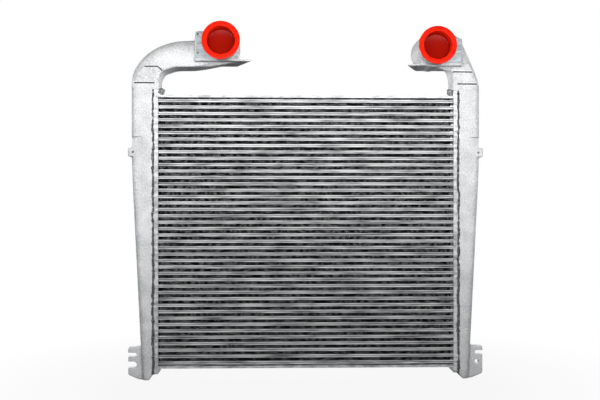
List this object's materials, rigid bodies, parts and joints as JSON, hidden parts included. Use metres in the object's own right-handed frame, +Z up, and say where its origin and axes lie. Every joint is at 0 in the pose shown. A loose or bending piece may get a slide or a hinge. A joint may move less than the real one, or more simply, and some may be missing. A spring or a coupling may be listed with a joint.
{
  "type": "charge air cooler",
  "caption": "Upright truck charge air cooler with a finned flat-tube core between two cast end tanks whose elbows end in forward hose necks closed by red plugs.",
  "frame": {"origin": "under the middle of the whole cooler, on the plane of its two cast feet", "axes": "+Z up, +X to the right seen from the front, -Y forwards out of the hose necks"},
  "size_m": [1.022, 0.175, 1.008],
  "materials": {
    "cast_aluminium": "blasted sand casting, matt with a fine grain",
    "header_sheet": "brazed sheet, satin",
    "core_aluminium": "brazed tube and fin, satin",
    "red_plug": "moulded plastic, glossy and slightly translucent"
  },
  "bodies": {
    "root": {"left_end_tank": "cast_aluminium", "right_end_tank": "cast_aluminium", "left_header": "header_sheet", "right_header": "header_sheet", "neck_plugs": "red_plug", "bottom_side_channel": "header_sheet", "top_side_channel": "header_sheet", "tube_01": "core_aluminium", "tube_02": "core_aluminium", "tube_03": "core_aluminium", "tube_04": "core_aluminium", "tube_05": "core_aluminium", "tube_06": "core_aluminium", "tube_07": "core_aluminium", "tube_08": "core_aluminium", "tube_09": "core_aluminium", "tube_10": "core_aluminium", "tube_11": "core_aluminium", "tube_12": "core_aluminium", "tube_13": "core_aluminium", "tube_14": "core_aluminium", "tube_15": "core_aluminium", "tube_16": "core_aluminium", "tube_17": "core_aluminium", "tube_18": "core_aluminium", "tube_19": "core_aluminium", "tube_20": "core_aluminium", "tube_21": "core_aluminium", "tube_22": "core_aluminium", "tube_23": "core_aluminium", "tube_24": "core_aluminium", "tube_25": "core_aluminium", "tube_26": "core_aluminium", "tube_27": "core_aluminium", "tube_28": "core_aluminium", "tube_29": "core_aluminium", "tube_30": "core_aluminium", "tube_31": "core_aluminium", "tube_32": "core_aluminium", "tube_33": "core_aluminium", "tube_34": "core_aluminium", "tube_35": "core_aluminium", "tube_36": "core_aluminium", "tube_37": "core_aluminium", "tube_38": "core_aluminium", "tube_39": "core_aluminium", "tube_40": "core_aluminium", "tube_41": "core_aluminium", "tube_42": "core_aluminium"}
  },
  "joints": []
}
